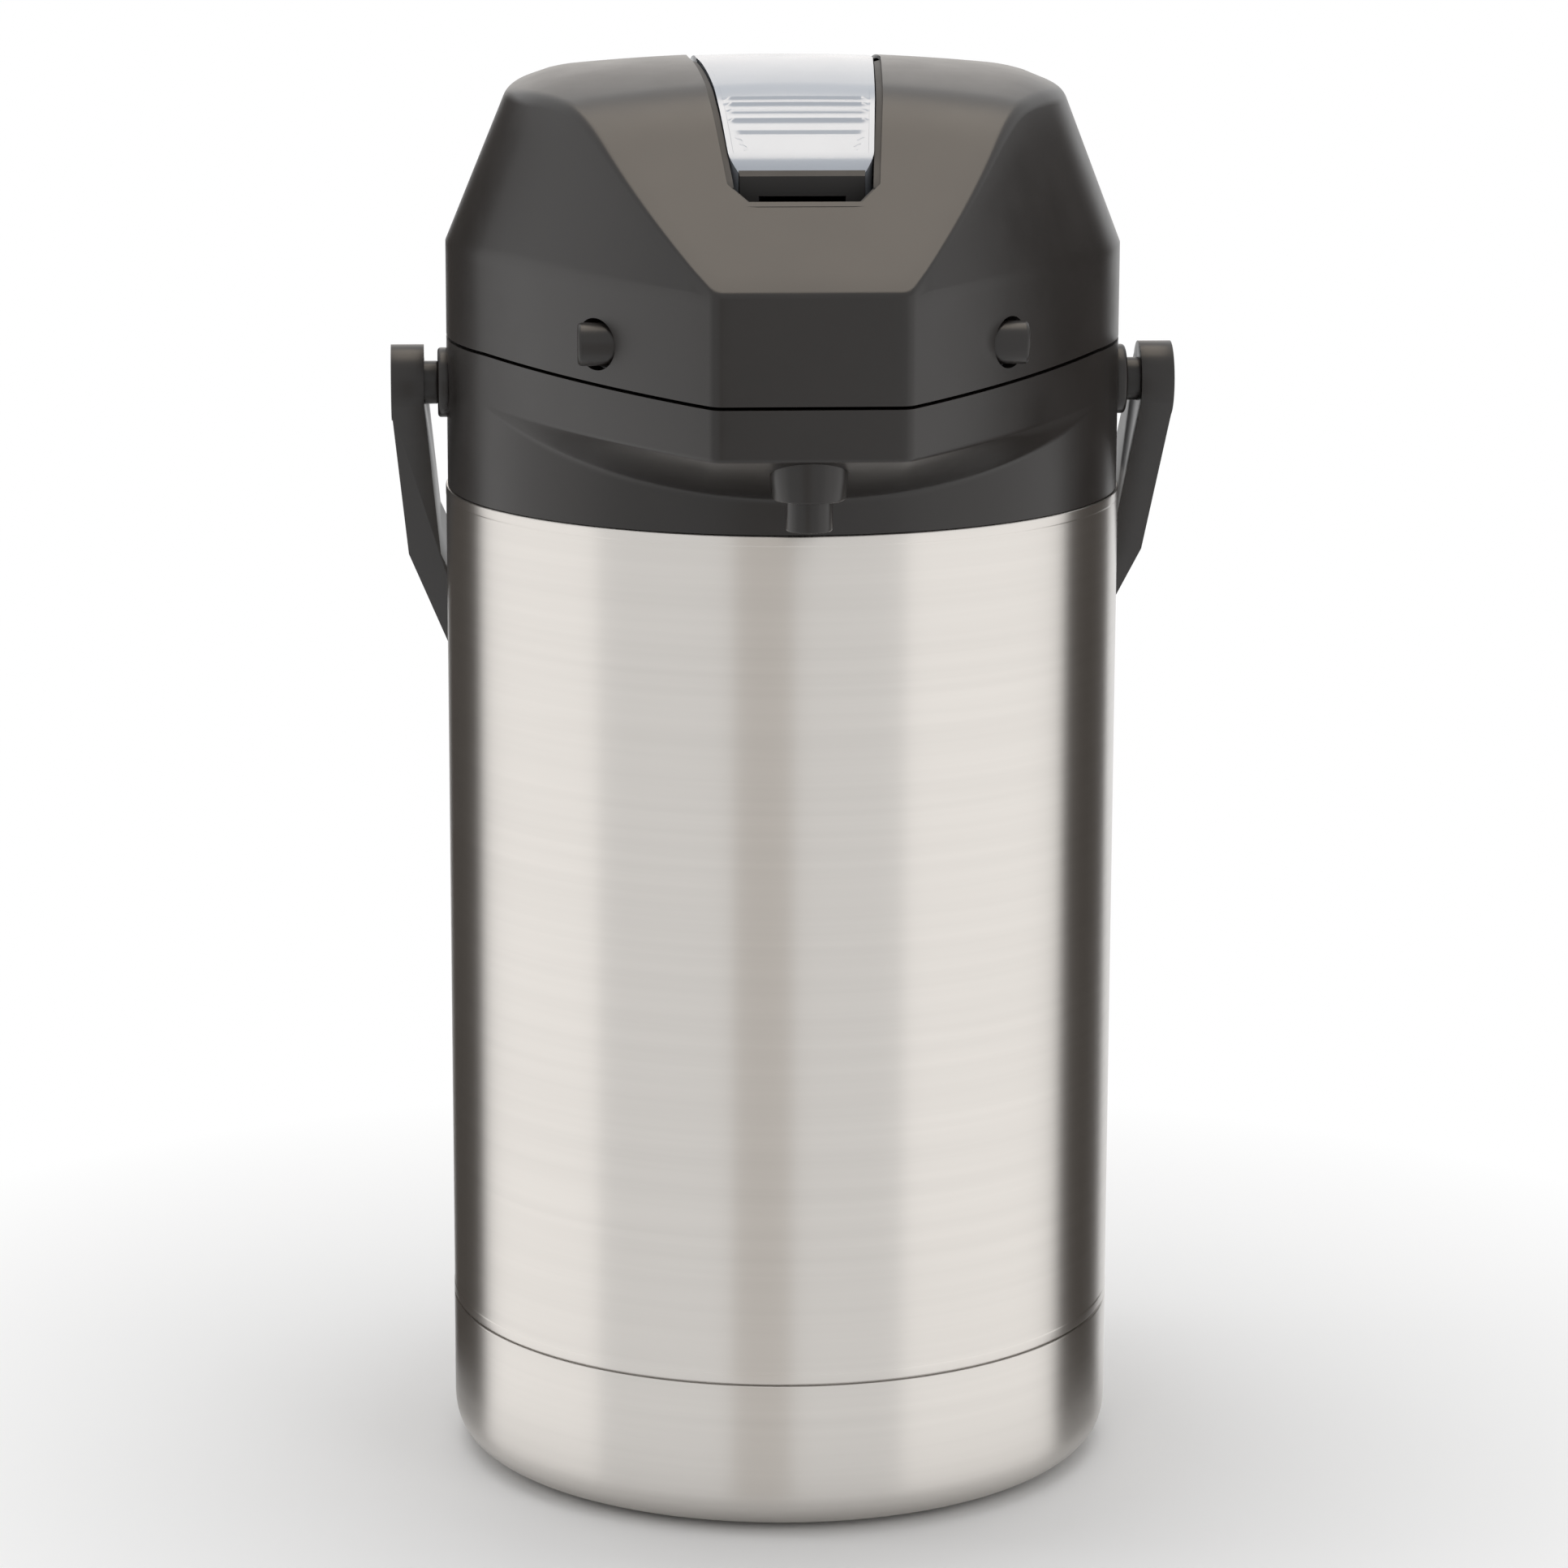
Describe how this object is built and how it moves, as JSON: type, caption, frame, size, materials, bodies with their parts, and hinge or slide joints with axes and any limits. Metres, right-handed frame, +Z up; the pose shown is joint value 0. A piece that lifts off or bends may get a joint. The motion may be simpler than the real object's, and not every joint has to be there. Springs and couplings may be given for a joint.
{
  "type": "lever airpot",
  "caption": "Lever airpot: steel vacuum body with a spout under a black prow, hinged pump lid with a bright push lever, and a bail handle.",
  "frame": {"origin": "middle of the flat base, where the airpot stands", "axes": "+Z up, -Y towards the spout, +X to the right of someone facing the spout"},
  "size_m": [0.191, 0.2153, 0.3482],
  "materials": {
    "steel_body": "brushed round the body",
    "steel_liner": "drawn",
    "steel_pin": "turned",
    "black_plastic": "satin moulded",
    "chrome": "bright",
    "silicone": "matte",
    "grey_plastic": "moulded"
  },
  "bodies": {
    "pot": {"base_cup": "steel_body", "outer_shell": "steel_body", "base_plate": "black_plastic", "inner_liner": "steel_liner", "liner_cushion": "silicone", "neck_seal": "silicone", "shoulder_collar": "black_plastic", "spout_tube": "steel_pin", "nozzle": "black_plastic", "pickup_tube": "steel_pin", "stem_seal": "silicone", "stem_head": "black_plastic", "hinge_pin": "steel_pin", "handle_pivot_left": "black_plastic", "handle_pivot_right": "black_plastic"},
    "lid": {"lid_cover": "black_plastic", "pump_base": "grey_plastic", "lid_seal": "silicone", "check_valve": "silicone", "bellows": "silicone", "return_spring": "steel_pin", "pump_screws": "steel_pin", "lever_pin": "steel_pin"},
    "lever": {"lever_cover": "chrome", "lever_frame": "black_plastic", "lever_roller": "grey_plastic"},
    "plunger": {"push_plate": "grey_plastic"},
    "button_left": {"latch_button_left": "black_plastic"},
    "button_right": {"latch_button_right": "black_plastic"},
    "handle": {"carry_handle": "black_plastic", "handle_cap_left": "black_plastic", "handle_cap_right": "black_plastic"}
  },
  "joints": [
    {"name": "lid_hinge", "type": "hinge", "parent": "pot", "child": "lid", "pos_m": [0, 0.088, 0.281], "axis": [-1, 0, 0], "range_deg": [0, 95]},
    {"name": "lever_hinge", "type": "hinge", "parent": "lid", "child": "lever", "pos_m": [0, 0.048, 0.326], "axis": [1, 0, 0], "range_deg": [0, 15], "stiffness_Nm_per_rad": 3, "springref_deg": -8.59},
    {"name": "plunger_slide", "type": "slide", "parent": "lid", "child": "plunger", "axis": [0, 0, -1], "range_m": [0, 0.0127], "stiffness_N_per_m": 400, "springref_m": -0.003, "deforming": ["bellows", "return_spring"]},
    {"name": "button_left_slide", "type": "slide", "parent": "lid", "child": "button_left", "axis": [1, 0, 0], "range_m": [0, 0.005], "stiffness_N_per_m": 300, "springref_m": -0.002},
    {"name": "button_right_slide", "type": "slide", "parent": "lid", "child": "button_right", "axis": [-1, 0, 0], "range_m": [0, 0.005], "stiffness_N_per_m": 300, "springref_m": -0.002},
    {"name": "handle_hinge", "type": "hinge", "parent": "pot", "child": "handle", "pos_m": [0, 0, 0.2688], "axis": [1, 0, 0], "range_deg": [0, 289]}
  ],
  "couplings": [
    {"joint": "plunger_slide", "follows": "lever_hinge", "m_per_rad": 0.048}
  ]
}
